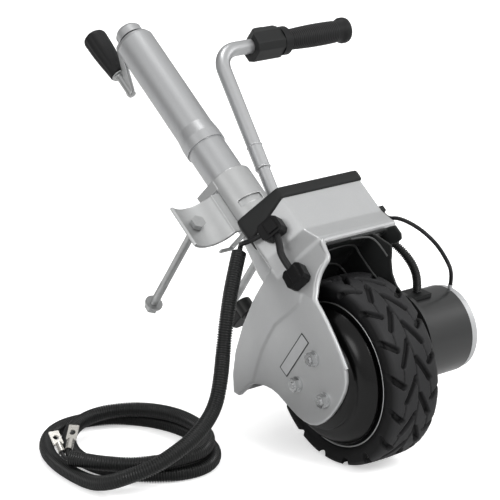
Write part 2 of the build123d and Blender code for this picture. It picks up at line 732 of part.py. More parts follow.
link_points = [(97, -67, 181), (97.5, -72, 164.5), (92.5, -78.5, 148), (90.5, -76, 124)]
link_lead = tube(cord_path("link_lead", link_points), 5.0)
lead_points = [(81, -72, 195), (63, -86, 200), (48, -87, 209), (39.0, -83.0, 210.4), (32.5, -93.8, 196.6)]
lead_cable = tube(cord_path("lead_cable", lead_points), 3.6)
save("lead_connector", lead_connector() - link_lead - lead_cable)
save("link_connector", link_connector() - link_lead)
save("link_lead", link_lead)
save("lead_cable", lead_cable)
conduit_points = [(65.5, 118, 53.7), (82, 118, 64.4), (98, 111, 82), (107, 100, 103), (109, 87.5, 125), (108, 85, 147)]
conduit_path = cord_path("motor_conduit", conduit_points)
save("motor_conduit", ribbed_tube(conduit_path, 6.0, 0.9, 36, 4.2, Vector(0, 1, 0)))
cable_end = at_gland(gland_reach)
cable_points = [(109, 110, 166), (109, 110, 155), (127, 113, 141), (138, 122, 111), (134, 136, 82), (116, 152, 62),
                tuple(at_gland(gland_reach + 18)), tuple(cable_end)]
save("motor_cable", tube(cord_path("motor_cable", cable_points), 2.6))
save("cable_clip", block(104, 114, box_right, 114, 166, 175))


# Power hose to the floor, its coil there and the two lugs for the battery, in floor coordinates
hose_points = [(-144, -88, 279), (-124, -117, 243), (-106, -141.5, 195), (-97, -153, 162), (-79.5, -171, 130),
               (-69, -187.5, 101), (-57, -214, 84), (-49, -245, 70), (-48, -278, 58), (-52, -306, 47), (-72, -331, 35)]
hose_path = cord_path("power_hose", hose_points)
hose_bore = 8.0
save_on_floor("power_hose", ribbed_tube(hose_path, hose_radius, 1.0, 116, hose_bore, Vector(1, 0, 0)))

# Coil: a place and a heading at each quarter turn, joined by pairs of arcs
low = hose_radius + 0.6
high = low + 2 * hose_radius + 1.2
coil_start = Vector(*hose_points[-1])
coil_heading = (coil_start - Vector(*hose_points[-2])).normalized()
coil_stops = [
    (coil_start + coil_heading * 2 * hose_radius, coil_heading),
    (Vector(-165, -355, low), Vector(-1, 0, 0)),
    (Vector(-318, -258, low), Vector(0, 1, 0)),
    (Vector(-185, -143, low), Vector(1, 0, 0)),
    (Vector(-77, -212, low), Vector(0, -1, 0)),
    (Vector(-205, -317, low), Vector(-1, 0, 0)),
    (Vector(-291, -246, low + 16), Vector(0, 1, 0.2)),
    (Vector(-180, -150, high), Vector(1, 0, 0)),
    (Vector(-79, -222, high), Vector(0, -1, 0)),
    (Vector(-155.5, -346, high), Vector(-0.88, -0.475, 0)),
]


def two_arcs(start, out, end, into):
    out = out.normalized()
    into = into.normalized()
    span = end - start
    both = out + into
    spread = 2 * (1 - out.dot(into))
    reach = (math.sqrt(span.dot(both) ** 2 + spread * span.dot(span)) - span.dot(both)) / spread
    middle = (start + end + (out - into) * reach) * 0.5
    heading = (end - into * reach) - (start + out * reach)
    return [TangentArc(start, middle, tangent=out), TangentArc(middle, end, tangent=heading)]


def coil_path():
    edges = [Line(coil_start, coil_stops[0][0])]
    for (a, out), (b, into) in zip(coil_stops, coil_stops[1:]):
        edges += two_arcs(a, out, b, into)
    last, heading = coil_stops[-1]
    edges.append(Line(last, last + heading.normalized() * 2 * hose_radius))
    return Wire([e.edge() if hasattr(e, "edge") else e for e in edges])


def least_gap(path, r):
    count = 500
    points = [path @ (i / count) for i in range(count + 1)]
    apart = int(8 * r / path.length * count)
    least = min((points[i] - points[j]).length for i in range(count) for j in range(i + apart, count + 1))
    return least - 2 * r


coil_wire = coil_path()
hose_coil = tube(coil_wire, hose_radius) - tube(coil_wire, hose_bore)
print("hose_coil length", round(coil_wire.length), "gap to itself", round(least_gap(coil_wire, hose_radius), 2),
      "volume share", round(hose_coil.volume / (math.pi * (hose_radius ** 2 - hose_bore ** 2) * coil_wire.length), 4))
save_on_floor("hose_coil", hose_coil)
hose_end = coil_wire @ 1
end_heading = coil_wire % 1
lug_ways = [(Vector(-0.87, 0.23, 0.42), -3.8), (Vector(-0.55, 0.62, 0.56), 3.8)]


def lug(start, way):
    barrel = rod(5.0, start, start + way * 16) - rod(3.0, start, start + way * 12)
    tongue = Plane(origin=start + way * 27, x_dir=way, z_dir=way.cross(Vector(0, 0, 1)).cross(way)) * (Box(24, 14, 3) - Cylinder(4.2, 5))
    return barrel + tongue


across_end = end_heading.cross(Vector(0, 0, 1)).normalized()
lead_ends = []
lugs = []
for way, side in lug_ways:
    way = way.normalized()
    begin = hose_end - end_heading * 14 + across_end * side
    turn = hose_end + end_heading * 6 + across_end * side
    seat = turn + way * 22
    path = FilletPolyline(begin, turn, seat, radius=9)
    lead_ends.append(tube(path, 2.95))
    lugs.append(lug(seat - way * 11, way))
save_on_floor("terminal_leads", *lead_ends)
save_on_floor("battery_terminals", *lugs)
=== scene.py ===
import math

import bmesh
import bpy
from mathutils import Matrix, Vector


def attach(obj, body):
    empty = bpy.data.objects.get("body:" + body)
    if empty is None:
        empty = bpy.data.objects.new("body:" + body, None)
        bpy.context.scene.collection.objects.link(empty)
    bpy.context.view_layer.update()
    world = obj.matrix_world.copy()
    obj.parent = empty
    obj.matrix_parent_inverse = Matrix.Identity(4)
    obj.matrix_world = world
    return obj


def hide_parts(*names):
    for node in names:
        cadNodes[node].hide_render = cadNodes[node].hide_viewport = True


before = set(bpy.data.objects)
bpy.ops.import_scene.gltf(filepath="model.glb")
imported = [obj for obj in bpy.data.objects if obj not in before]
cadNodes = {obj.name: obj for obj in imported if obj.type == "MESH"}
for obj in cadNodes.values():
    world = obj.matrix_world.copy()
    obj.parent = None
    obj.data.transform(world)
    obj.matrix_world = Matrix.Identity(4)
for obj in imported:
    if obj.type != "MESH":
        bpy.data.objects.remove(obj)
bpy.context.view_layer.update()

scene = bpy.context.scene
print("dolly: frame loaded,", len(cadNodes), "parts")

# The dolly is drawn upright in millimetres (X front, Y axle, Z up the tube) and leans back about the axle.
# What lies on the floor is drawn from the point of the floor below the wheel's centre.
lean = math.radians(54)
wheelCentre = (0.247034, 0, -0.158468)
floorHeight = -0.288468
millimetre = Matrix.Scale(0.001, 4)
uprightToFrame = Matrix((
    (math.cos(lean), 0, -math.sin(lean), wheelCentre[0]),
    (0, 1, 0, 0),
    (math.sin(lean), 0, math.cos(lean), wheelCentre[2]),
    (0, 0, 0, 1),
)) @ millimetre
floorToFrame = Matrix.Translation((wheelCentre[0], 0, floorHeight)) @ millimetre
wheelToFrame = Matrix.Translation(wheelCentre) @ millimetre


def leaned(points):
    return [uprightToFrame @ Vector(p) for p in points]


def grounded(points):
    return [floorToFrame @ Vector(p) for p in points]


# Camera at the photograph's angle
cameraSettings = {"place": (2.3785, -1.8796, 0.9266), "forward": (-0.74481, 0.59266, -0.30662), "lens": 159.0}


def makeCamera(settings):
    data = bpy.data.cameras.new("photoCamera")
    data.sensor_width = 36
    data.lens = settings["lens"]
    data.clip_end = 60
    camera = bpy.data.objects.new("photoCamera", data)
    scene.collection.objects.link(camera)
    camera.location = settings["place"]
    camera.rotation_euler = Vector(settings["forward"]).to_track_quat("-Z", "Y").to_euler()
    scene.camera = camera


makeCamera(cameraSettings)


# Materials
def linear(hexColour):
    channels = [int(hexColour[i:i + 2], 16) / 255 for i in (1, 3, 5)]
    return [c / 12.92 if c <= 0.04045 else ((c + 0.055) / 1.055) ** 2.4 for c in channels] + [1]


def perMetre(sizeMm):
    return 1000 / sizeMm


def addNode(tree, kind, settings=None, links=None):
    node = tree.nodes.new("ShaderNode" + kind)
    for key, value in (settings or {}).items():
        if isinstance(key, str) and hasattr(node, key):
            setattr(node, key, value)
        else:
            node.inputs[key].default_value = value
    for key, output in (links or {}).items():
        tree.links.new(output, node.inputs[key])
    return node


# Each finish starts from what the real one is. Sizes are in millimetres: patch is the size of its cloudy tint, grain that of its
# relief, and depth the height of the relief. Shine is the specular level.
finishes = {
    # cast aluminium under silver lacquer: satin, faintly pebbled by the sand mould, flakes give a soft metallic sheen
    "silverLacquerCasting": {"colour": "#c0c1c1", "tint": "#b6b7b8", "patch": 45, "metallic": 0.62, "roughness": 0.42,
                             "spread": 0.07, "grain": 1.3, "depth": 0.05, "fleck": 0.3, "coat": 0.05},
    # drawn steel tube under the same lacquer: smoother, with faint draw lines along it
    "silverLacquerTube": {"colour": "#b9babb", "tint": "#afb0b1", "patch": 70, "metallic": 0.78, "roughness": 0.38,
                          "spread": 0.05, "grain": 1.6, "depth": 0.02, "fleck": 0.3, "coat": 0.05, "drawn": 2.2},
    # zinc plated steel: bright, slightly cloudy grey
    "zincPlate": {"colour": "#bcbdbd", "tint": "#a4a5a5", "patch": 9, "metallic": 1.0, "roughness": 0.4,
                  "spread": 0.12, "grain": 0.7, "depth": 0.02, "coat": 0.0},
    # bright zinc of the hub's bolt heads and washers: smooth, white under the lacquer
    "brightZinc": {"colour": "#dcdddd", "tint": "#bcbdbe", "patch": 7, "metallic": 1.0, "roughness": 0.24,
                   "spread": 0.08, "grain": 0.6, "depth": 0.02, "coat": 0.0},
    # zinc plated and lacquered pressings of the clamp: paler and more satin than the bolts
    "zincPressing": {"colour": "#c2c3c3", "tint": "#b2b3b3", "patch": 22, "metallic": 0.85, "roughness": 0.42,
                     "spread": 0.1, "grain": 0.9, "depth": 0.025, "coat": 0.0},
    # ABS moulding with a spark-eroded grain: matt charcoal
    "grainedAbs": {"colour": "#151616", "tint": "#1b1c1c", "patch": 30, "metallic": 0.0, "roughness": 0.56,
                   "spread": 0.08, "grain": 1.1, "depth": 0.07, "coat": 0.0, "shine": 0.3},
    # vacuum formed polyethylene liner: black, waxy half gloss
    "blackPolyethylene": {"colour": "#232424", "tint": "#2a2b2b", "patch": 26, "metallic": 0.0, "roughness": 0.42,
                          "spread": 0.1, "grain": 3.0, "depth": 0.05, "coat": 0.0, "shine": 0.26},
    # the same polyethylene along a fold, drawn paler: a painted highlight along the ridge
    "paintedHighlightPolyethylene": {"colour": "#525353", "tint": "#424343", "patch": 12, "metallic": 0.0, "roughness": 0.36,
                           "spread": 0.08, "grain": 2.0, "depth": 0.03, "coat": 0.0, "shine": 0.4},
    # vulcanised tyre rubber: dull, and greyer on the crown of the tread, partly road scuff and partly a painted
    # highlight for the light that falls on the tread
    "tyreRubber": {"colour": "#070708", "tint": "#0c0c0d", "patch": 14, "metallic": 0.0, "roughness": 0.54,
                   "spread": 0.1, "grain": 0.8, "depth": 0.05, "coat": 0.0, "shine": 0.2,
                   "scuffAndHighlight": "#29292a", "scuffAndHighlightFrom": 122.0, "scuffAndHighlightTo": 128.5},
    # glass-filled nylon rim: dark grey with a soft sheen
    "nylonRim": {"colour": "#101111", "tint": "#161717", "patch": 24, "metallic": 0.0, "roughness": 0.38,
                 "spread": 0.07, "grain": 1.2, "depth": 0.03, "coat": 0.0, "shine": 0.3},
    # stove enamel on the hub cover: black, fairly glossy
    "blackEnamel": {"colour": "#030303", "tint": "#060606", "patch": 30, "metallic": 0.0, "roughness": 0.24,
                    "spread": 0.04, "grain": 2.6, "depth": 0.02, "coat": 0.0, "shine": 0.3},
    # hobbed gear steel: grey, oily
    "hobbedSteel": {"colour": "#8e9092", "tint": "#77797a", "patch": 12, "metallic": 1.0, "roughness": 0.34,
                    "spread": 0.1, "grain": 0.6, "depth": 0.02, "coat": 0.2},
    # ground bearing steel: bright and even
    "groundSteel": {"colour": "#c9cacc", "tint": "#bbbcbe", "patch": 16, "metallic": 1.0, "roughness": 0.16,
                    "spread": 0.05, "grain": 0.4, "depth": 0.01, "coat": 0.0},
    # motor can in black gloss paint: smooth with a slight orange peel
    "canPaint": {"colour": "#1b1c1c", "tint": "#202121", "patch": 40, "metallic": 0.0, "roughness": 0.36,
                 "spread": 0.05, "grain": 2.4, "depth": 0.03, "coat": 0.3, "shine": 0.5},
    # die cast motor end: bright aluminium, lightly tumbled
    "dieCastAluminium": {"colour": "#c9cacb", "tint": "#babbbc", "patch": 18, "metallic": 0.6, "roughness": 0.45,
                         "spread": 0.1, "grain": 0.9, "depth": 0.04, "coat": 0.0},
    # enamelled copper winding: warm brown gloss
    "copperWinding": {"colour": "#a4623b", "tint": "#82492a", "patch": 6, "metallic": 0.9, "roughness": 0.3,
                      "spread": 0.1, "grain": 0.8, "depth": 0.06, "coat": 0.4},
    # sintered ferrite: dull dark grey
    "ferrite": {"colour": "#3a3b3d", "tint": "#444547", "patch": 10, "metallic": 0.1, "roughness": 0.66,
                "spread": 0.1, "grain": 0.6, "depth": 0.05, "coat": 0.0},
    # moulded grip rubber: black, dry, fine grain that catches light softly
    "gripRubber": {"colour": "#111112", "tint": "#171718", "patch": 11, "metallic": 0.0, "roughness": 0.55,
                   "spread": 0.09, "grain": 0.9, "depth": 0.06, "coat": 0.0, "shine": 0.28},
    # glass-filled nylon switch box: near black, fine matt
    "switchNylon": {"colour": "#151616", "tint": "#1b1c1c", "patch": 16, "metallic": 0.0, "roughness": 0.5,
                    "spread": 0.08, "grain": 0.8, "depth": 0.06, "coat": 0.0, "shine": 0.3},
    # polished ABS for what a hand presses: black, half gloss
    "smoothAbs": {"colour": "#101111", "tint": "#151616", "patch": 12, "metallic": 0.0, "roughness": 0.34,
                  "spread": 0.07, "grain": 1.4, "depth": 0.03, "coat": 0.0, "shine": 0.34},
    # nylon connector shells: deep black
    "connectorNylon": {"colour": "#050506", "tint": "#080809", "patch": 9, "metallic": 0.0, "roughness": 0.46,
                       "spread": 0.1, "grain": 0.7, "depth": 0.06, "coat": 0.0, "shine": 0.2},
    # PVC cable sheath: black, slightly waxy
    "pvcSheath": {"colour": "#101011", "tint": "#161617", "patch": 20, "metallic": 0.0, "roughness": 0.4,
                  "spread": 0.08, "grain": 1.0, "depth": 0.03, "coat": 0.0, "shine": 0.3},
    # polypropylene convoluted conduit: black with a sheen on each rib
    "ribbedPolypropylene": {"colour": "#101111", "tint": "#161717", "patch": 35, "metallic": 0.0, "roughness": 0.36,
                            "spread": 0.09, "grain": 1.2, "depth": 0.03, "coat": 0.0, "shine": 0.34},
    # tinned copper lugs: soft bright metal with crimp scuffs
    "tinnedCopper": {"colour": "#cfcdc8", "tint": "#b4b1aa", "patch": 4, "metallic": 1.0, "roughness": 0.28,
                     "spread": 0.12, "grain": 0.8, "depth": 0.05, "coat": 0.0},
}


# Metal flakes in a lacquer, drawn at 0.5 mm so that they show
flakes = {"size": 0.5, "darker": 0.16, "paler": 0.1}
# Draw lines run along the jack tube, which rises at 36 degrees from the floor
drawLines = {"rise": math.radians(36), "stretch": 60}


def makeFinish(name, look):
    material = bpy.data.materials.new(name)
    material.use_nodes = True
    tree = material.node_tree
    tree.nodes.clear()
    place = addNode(tree, "TexCoord").outputs["Object"]
    cloud = addNode(tree, "TexNoise", {"Scale": perMetre(look["patch"]), "Detail": 4, "Roughness": 0.6}, {"Vector": place})
    shade = addNode(tree, "MixRGB", {"Color1": linear(look["colour"]), "Color2": linear(look["tint"])},
                    {"Fac": cloud.outputs["Fac"]})
    grain = addNode(tree, "TexNoise", {"Scale": perMetre(look["grain"]), "Detail": 3, "Roughness": 0.55}, {"Vector": place})
    height = grain.outputs["Fac"]
    if "drawn" in look:
        along = addNode(tree, "Mapping", {"vector_type": "TEXTURE", "Rotation": (0, drawLines["rise"], 0),
                                          "Scale": (drawLines["stretch"], 1, 1)}, {"Vector": place})
        lines = addNode(tree, "TexNoise", {"Scale": perMetre(look["drawn"]), "Detail": 2}, {"Vector": along.outputs["Vector"]})
        height = addNode(tree, "Math", {"operation": "ADD"}, {0: height, 1: lines.outputs["Fac"]}).outputs["Value"]
    colour = shade.outputs["Color"]
    if "fleck" in look:
        cells = addNode(tree, "TexVoronoi", {"Scale": perMetre(flakes["size"])}, {"Vector": place})
        pale = addNode(tree, "MapRange", {"From Min": 0.0, "From Max": 1.0, "To Min": 1 - flakes["darker"] * look["fleck"],
                                          "To Max": 1 + flakes["paler"] * look["fleck"]}, {"Value": cells.outputs["Color"]})
        colour = addNode(tree, "VectorMath", {"operation": "SCALE"}, {0: colour, "Scale": pale.outputs["Result"]}).outputs["Vector"]
    # The crown is paler by the distance from the wheel's axle: partly road scuff, partly a painted highlight for the
    # light on the tread
    if "scuffAndHighlight" in look:  # by the distance from the wheel's axle
        apart = addNode(tree, "VectorMath", {"operation": "SUBTRACT", 1: wheelCentre}, {0: place})
        flat = addNode(tree, "VectorMath", {"operation": "MULTIPLY", 1: (1, 0, 1)}, {0: apart.outputs["Vector"]})
        reach = addNode(tree, "VectorMath", {"operation": "LENGTH"}, {0: flat.outputs["Vector"]})
        scuffAndHighlightShare = addNode(tree, "MapRange", {"From Min": look["scuffAndHighlightFrom"] / 1000, "From Max": look["scuffAndHighlightTo"] / 1000},
                       {"Value": reach.outputs["Value"]})
        mixed = addNode(tree, "MixRGB", {"Color2": linear(look["scuffAndHighlight"])}, {"Fac": scuffAndHighlightShare.outputs["Result"], "Color1": colour})
        colour = mixed.outputs["Color"]
    rough = addNode(tree, "MapRange", {"To Min": look["roughness"] - look["spread"],
                                       "To Max": look["roughness"] + look["spread"]}, {"Value": cloud.outputs["Fac"]})
    bump = addNode(tree, "Bump", {"Strength": 0.6, "Distance": look["depth"] / 1000}, {"Height": height})
    shader = addNode(tree, "BsdfPrincipled", {"Metallic": look["metallic"], "Coat Weight": look["coat"], "Coat Roughness": 0.2,
                                              "Specular IOR Level": look.get("shine", 0.5)},
                     {"Base Color": colour, "Roughness": rough.outputs["Result"], "Normal": bump.outputs["Normal"]})
    addNode(tree, "OutputMaterial", None, {"Surface": shader.outputs["BSDF"]})
    return material


materials = {name: makeFinish(name, look) for name, look in finishes.items()}
nodeFinish = {
    "silverLacquerCasting": ["fork_casting"],
    "dieCastAluminium": ["motor_side_cheek", "motor_end_cap"],
    "silverLacquerTube": ["inner_tube", "lower_jack_tube", "upper_jack_tube", "tube_end_cap", "handle_stem", "handle_bar",
                          "crank_hub"],
    "brightZinc": ["hub_bolts", "spring_washers"],
    "zincPlate": ["cover_screws", "axle_clip", "clamp_bolts", "clamp_nuts", "crank_arm", "end_cap_screws"],
    "zincPressing": ["clamp_saddle", "clamp_plate"],
    "grainedAbs": ["top_cover", "terminal_cover", "cable_clip"],
    "blackPolyethylene": ["wheel_arch_liner"],
    "tyreRubber": ["tyre"],
    "nylonRim": ["rim"],
    "blackEnamel": ["hub_cover"],
    "hobbedSteel": ["stub_axle", "ring_gear", "drive_pinion", "planet_carrier", "planet_gear_1", "planet_gear_2",
                    "planet_gear_3", "armature_shaft", "spindle", "spindle_nut"],
    "groundSteel": ["wheel_bearings", "pinion_bearing", "thrust_bearing"],
    "canPaint": ["motor_can", "gearbox_housing"],
    "copperWinding": ["armature"],
    "ferrite": ["motor_magnets"],
    "gripRubber": ["crank_grip", "handle_grip", "grip_collar"],
    "switchNylon": ["switch_housing"],
    "smoothAbs": ["switch_rocker", "clutch_lever"],
    "connectorNylon": ["lead_connector", "link_connector"],
    "pvcSheath": ["lead_cable", "link_lead", "motor_cable", "terminal_leads"],
    "ribbedPolypropylene": ["power_hose", "hose_coil", "motor_conduit"],
    "tinnedCopper": ["battery_terminals"],
}
for finishName, nodeNames in nodeFinish.items():
    for nodeName in nodeNames:
        mesh = cadNodes[nodeName].data
        mesh.materials.clear()
        mesh.materials.append(materials[finishName])
print("dolly: materials ready,", len(materials))


# Making pieces
def dress(piece, body, finish, replaced=()):
    piece.data.materials.append(materials[finish])
    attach(piece, body)
    if replaced:
        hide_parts(*replaced)
    return piece


def pieceFromBmesh(name, bm, matrix=None):
    if matrix is not None:
        bm.transform(matrix)
    bmesh.ops.recalc_face_normals(bm, faces=bm.faces)
    for face in bm.faces:
        face.smooth = True
    mesh = bpy.data.meshes.new(name)
    bm.to_mesh(mesh)
    bm.free()
    piece = bpy.data.objects.new(name, mesh)
    scene.collection.objects.link(piece)
    return piece


def routeCurve(name, points, radius=0.0):
    data = bpy.data.curves.new(name, "CURVE")
    data.dimensions = "3D"
    data.resolution_u = 16
    data.bevel_depth = radius
    data.bevel_resolution = 6
    data.use_fill_caps = True
    spline = data.splines.new("NURBS")
    spline.points.add(len(points) - 1)
    for knot, point in zip(spline.points, points):
        knot.co = (*point, 1)
    spline.order_u = 3
    spline.use_endpoint_u = True
    piece = bpy.data.objects.new(name, data)
    scene.collection.objects.link(piece)
    return piece


def readRoute(points):
    curve = routeCurve("routeGuide", points)
    bpy.context.view_layer.update()
    mesh = bpy.data.meshes.new_from_object(curve)
    line = [v.co.copy() for v in mesh.vertices]
    bpy.data.meshes.remove(mesh)
    bpy.data.objects.remove(curve)
    return line


def lineLength(line):
    return sum((b - a).length for a, b in zip(line, line[1:]))


def evenly(line, count):
    total = lineLength(line)
    made, walked, at = [line[0].copy()], 0.0, 0
    for i in range(1, count):
        wanted = total * i / count
        while walked + (line[at + 1] - line[at]).length < wanted:
            walked += (line[at + 1] - line[at]).length
            at += 1
        step = line[at + 1] - line[at]
        made.append(line[at] + step * ((wanted - walked) / step.length))
    made.append(line[-1].copy())
    return made


# A convoluted tube: flat-topped ribs with narrow valleys, and a mouth at each end that looks open.
# The steps are where its five rings lie within a pitch, fine is how many points the line has in one.
ribForm = {"steps": (0.0, 0.16, 0.3, 0.72, 0.86), "fine": 25, "mouth": 0.84, "mouthDepth": 2}


def ribbedTube(name, line, settings):
    count = round(lineLength(line) * 1000 / settings["pitch"])
    crest, valley = settings["radius"] / 1000, (settings["radius"] - settings["depth"]) / 1000
    sizes = (valley, valley, crest, crest, valley)
    fine = evenly(line, count * ribForm["fine"])
    centres, radii = [], []
    for rib in range(count):
        for step, size in zip(ribForm["steps"], sizes):
            centres.append(fine[round((rib + step) * ribForm["fine"])])
            radii.append(size)
    centres.append(fine[-1])
    radii.append(valley)
    lip, depth = valley * ribForm["mouth"], ribForm["mouthDepth"] * crest
    inward = (fine[1] - fine[0]).normalized() * depth
    outward = (fine[-2] - fine[-1]).normalized() * depth
    centres = [fine[0] + inward, fine[0]] + centres + [fine[-1], fine[-1] + outward]
    radii = [lip, lip] + radii + [lip, lip]
    return pieceFromBmesh(name, ribbedRings(centres, radii, settings["sides"], fine))


# Rings along a line, each with its own radius. The end rings take their heading from the fine line, so that the mouths can
# turn inwards.
def ribbedRings(centres, radii, sides, fine):
    headings = []
    for i in range(len(centres)):
        a, b = centres[max(i - 1, 2 if i > 1 else 1)], centres[min(i + 1, len(centres) - 2)]
        headings.append((b - a).normalized() if (b - a).length > 1e-9 else None)
    headings[0] = headings[1] = (fine[1] - fine[0]).normalized()
    headings[-1] = headings[-2] = (fine[-1] - fine[-2]).normalized()
    bm = bmesh.new()
    across = headings[0].orthogonal().normalized()
    rings, last = [], headings[0]
    for point, radius, heading in zip(centres, radii, headings):
        last = heading or last
        across = (across - last * across.dot(last)).normalized()
        up = last.cross(across)
        rings.append([bm.verts.new(point + (across * math.cos(a) + up * math.sin(a)) * radius)
                      for a in (2 * math.pi * k / sides for k in range(sides))])
    for low, high in zip(rings, rings[1:]):
        for k in range(sides):
            bm.faces.new((low[k], low[(k + 1) % sides], high[(k + 1) % sides], high[k]))
    bm.faces.new(rings[0][::-1])
    bm.faces.new(rings[-1])
    return bm


# Cords, by the same routes as the solids. The hose hangs from the leads at the connector, lies on the floor and goes twice
# round.
hose = {"radius": 10.5, "depth": 1.7, "pitch": 3.5, "sides": 20, "route": [
    (-144, -88, 279), (-124, -117, 243), (-106, -141.5, 195), (-97, -153, 162), (-79.5, -171, 130), (-69, -187.5, 101),
    (-57, -214, 84), (-49, -245, 70), (-48, -278, 58), (-52, -306, 47), (-70, -332, 35),
    (-94, -350, 22), (-130, -356, 12), (-200, -355, 11.1), (-256, -341, 11.1), (-298, -311, 11.1), (-319, -275, 11.1),
    (-319, -236, 11.1), (-302, -197, 11.1), (-272, -167, 11.1), (-235, -149, 11.1), (-200, -143, 11.1), (-160, -143, 11.1),
    (-124, -151, 11.1), (-94, -171, 11.1), (-77, -198, 11.1), (-77, -230, 11.1), (-92, -264, 11.1), (-119, -292, 11.1),
    (-156, -311, 11.1), (-190, -318, 11.1), (-224, -316, 11.8), (-258, -303, 15), (-282, -281, 20), (-291, -256, 25),
    (-290, -228, 29), (-274, -194, 32.4), (-243, -166, 33.3), (-206, -151, 33.3), (-166, -150, 33.3), (-124, -160, 33.3),
    (-94, -183, 33.3), (-79, -208, 33.3), (-79, -240, 33.3), (-88, -276, 33.3), (-106, -309, 33.3), (-134, -334, 33.3),
    (-155.5, -346, 33.3), (-174, -356, 33.3)]}
hoseLine = readRoute(grounded(hose["route"]))
powerHose = ribbedTube("powerHose", hoseLine, hose)
dress(powerHose, "fork", "ribbedPolypropylene", ("power_hose", "hose_coil"))

# Two short leads come out of the hose's far end, into the crimped lugs
leadEnds = {"radius": 2.95, "routes": [
    [(-159.9, -352.7, 33.3), (-170, -358.2, 33.3), (-178.5, -362.6, 34), (-186, -360.2, 37.2), (-196.7, -357.1, 42.6)],
    [(-163.5, -346, 33.3), (-172, -350.6, 33.3), (-181.5, -355.4, 33.8), (-185.2, -350.8, 37.8), (-193.2, -341.9, 45.6)]]}
for number, route in enumerate(leadEnds["routes"]):
    lead = routeCurve(f"lugLead{number + 1}", grounded(route), leadEnds["radius"] / 1000)
    dress(lead, "fork", "pvcSheath", ("terminal_leads",))

cables = {
    "linkLead": {"node": "link_lead", "radius": 5.0, "stiffness": "stiff",
                 "route": [(97, -66.5, 182), (97.5, -72, 164.5), (92.5, -78.8, 148), (90.3, -75.4, 122.3)]},
    "hoseLead": {"node": "lead_cable", "radius": 3.6, "stiffness": "medium",
                 "route": [(81, -72, 195), (63, -86, 200), (48, -87, 209), (39, -83, 210.4), (32.5, -93.8, 196.6)]},
    "motorCable": {"node": "motor_cable", "radius": 2.9, "stiffness": "medium",
                   "route": [(109, 110, 166), (109, 110, 155), (127, 113, 141), (138, 122, 111), (134, 136, 82), (116, 152, 62),
                             (86.3, 175.5, 56.5), (70.3, 175.5, 48.4)]},
}
for name, cable in cables.items():
    points = leaned(cable["route"])
    length = round(lineLength(readRoute(points)), 4)
    piece = dress(routeCurve(name, points, cable["radius"] / 1000), "fork", "pvcSheath", (cable["node"],))

conduit = {"radius": 6.2, "depth": 1.6, "pitch": 2.9, "sides": 20,
           "route": [(65.5, 118, 53.7), (82, 118, 64.4), (98, 111, 82), (107, 100, 103), (109, 87.5, 125), (108, 85, 147)]}
conduitLine = readRoute(leaned(conduit["route"]))
motorConduit = ribbedTube("motorConduit", conduitLine, conduit)
dress(motorConduit, "fork", "ribbedPolypropylene", ("motor_conduit",))
print("dolly: cords laid, hose", round(lineLength(hoseLine), 3), "m")


# Castings and mouldings: the shape in millimetres with its edges rounded as a mould leaves them, by the size of a voxel, the
# rounds of smoothing, and the share of its faces that are kept
def softened(name, mesh, voxel, rounds, keep):
    source = bpy.data.objects.new("roundingSource", mesh)
    scene.collection.objects.link(source)
    remesh = source.modifiers.new("remesh", "REMESH")
    remesh.mode = "VOXEL"
    remesh.voxel_size = voxel
    remesh.adaptivity = 0
    soften = source.modifiers.new("soften", "SMOOTH")
    soften.factor = 0.5
    soften.iterations = rounds
    lighten = source.modifiers.new("lighten", "DECIMATE")
    lighten.ratio = keep
    bpy.context.view_layer.update()
    made = bpy.data.meshes.new_from_object(source.evaluated_get(bpy.context.evaluated_depsgraph_get()))
    bpy.data.objects.remove(source)
    bpy.data.meshes.remove(mesh)
    made.name = name
    made.transform(uprightToFrame)
    made.materials.clear()
    made.polygons.foreach_set("use_smooth", [True] * len(made.polygons))
    piece = bpy.data.objects.new(name, made)
    scene.collection.objects.link(piece)
    return piece


def rounded(name, node, voxel, rounds, keep, body, slotName, finish):
    mesh = cadNodes[node].data.copy()
    mesh.transform(uprightToFrame.inverted())
    return dress(softened(name, mesh, voxel, rounds, keep), body, finish, (node,))


# Name, node, voxel, rounds, share kept, body, slot and finish
castings = [
    ("forkCasting", "fork_casting", 1.4, 10, 0.35, "fork", "cast_aluminium", "silverLacquerCasting"),
    ("gearSideCheek", "motor_side_cheek", 1.5, 4, 0.35, "fork", "motor_silver", "dieCastAluminium"),
    ("archLiner", "wheel_arch_liner", 1.2, 3, 0.35, "fork", "black_liner", "blackPolyethylene"),
    ("wingPlate", "clamp_plate", 1.0, 3, 0.4, "jack_tube", "zinc_steel", "zincPressing"),
    ("tubeSaddle", "clamp_saddle", 0.9, 2, 0.4, "jack_tube", "zinc_steel", "zincPressing"),
    ("clutchKnob", "clutch_lever", 1.0, 6, 0.5, "clutch_lever", "rocker_plastic", "smoothAbs"),
    ("leadPlug", "lead_connector", 0.8, 4, 0.5, "fork", "connector_black", "connectorNylon"),
    ("linkPlug", "link_connector", 0.8, 4, 0.5, "fork", "connector_black", "connectorNylon"),
    ("switchBox", "switch_housing", 0.9, 5, 0.5, "fork", "switch_plastic", "switchNylon"),
    ("crankArm", "crank_arm", 0.9, 3, 0.5, "crank", "zinc_steel", "zincPlate"),
]
for casting in castings:
    rounded(*casting)
print("dolly: castings rounded")

# Cover of the box, with well rounded corners, and the skirt that hangs over the slanting wall and reaches lower to the left.
# Each outline's points are X, Y and the height of the lower edge.
cover = {"top": 242.2, "voxel": 1.3, "rounds": 90, "keep": 0.5, "outlines": [
    [(34.6, -63, 222.5), (57.2, -80.4, 222.5), (118.8, -37.9, 222.5), (118.8, 109.6, 222.5), (34.6, 109.6, 222.5),
     (34.6, 20, 222.5), (38, 12.5, 222.5), (39.6, 0, 222.5), (38, -12.5, 222.5), (34.6, -20, 222.5)],
    [(36, -50, 200), (33, -58.5, 198), (57.2, -80.4, 200.5), (90, -57.8, 212), (116, -39.8, 222.5), (106, -30, 222.5),
     (56, -52, 204)]]}


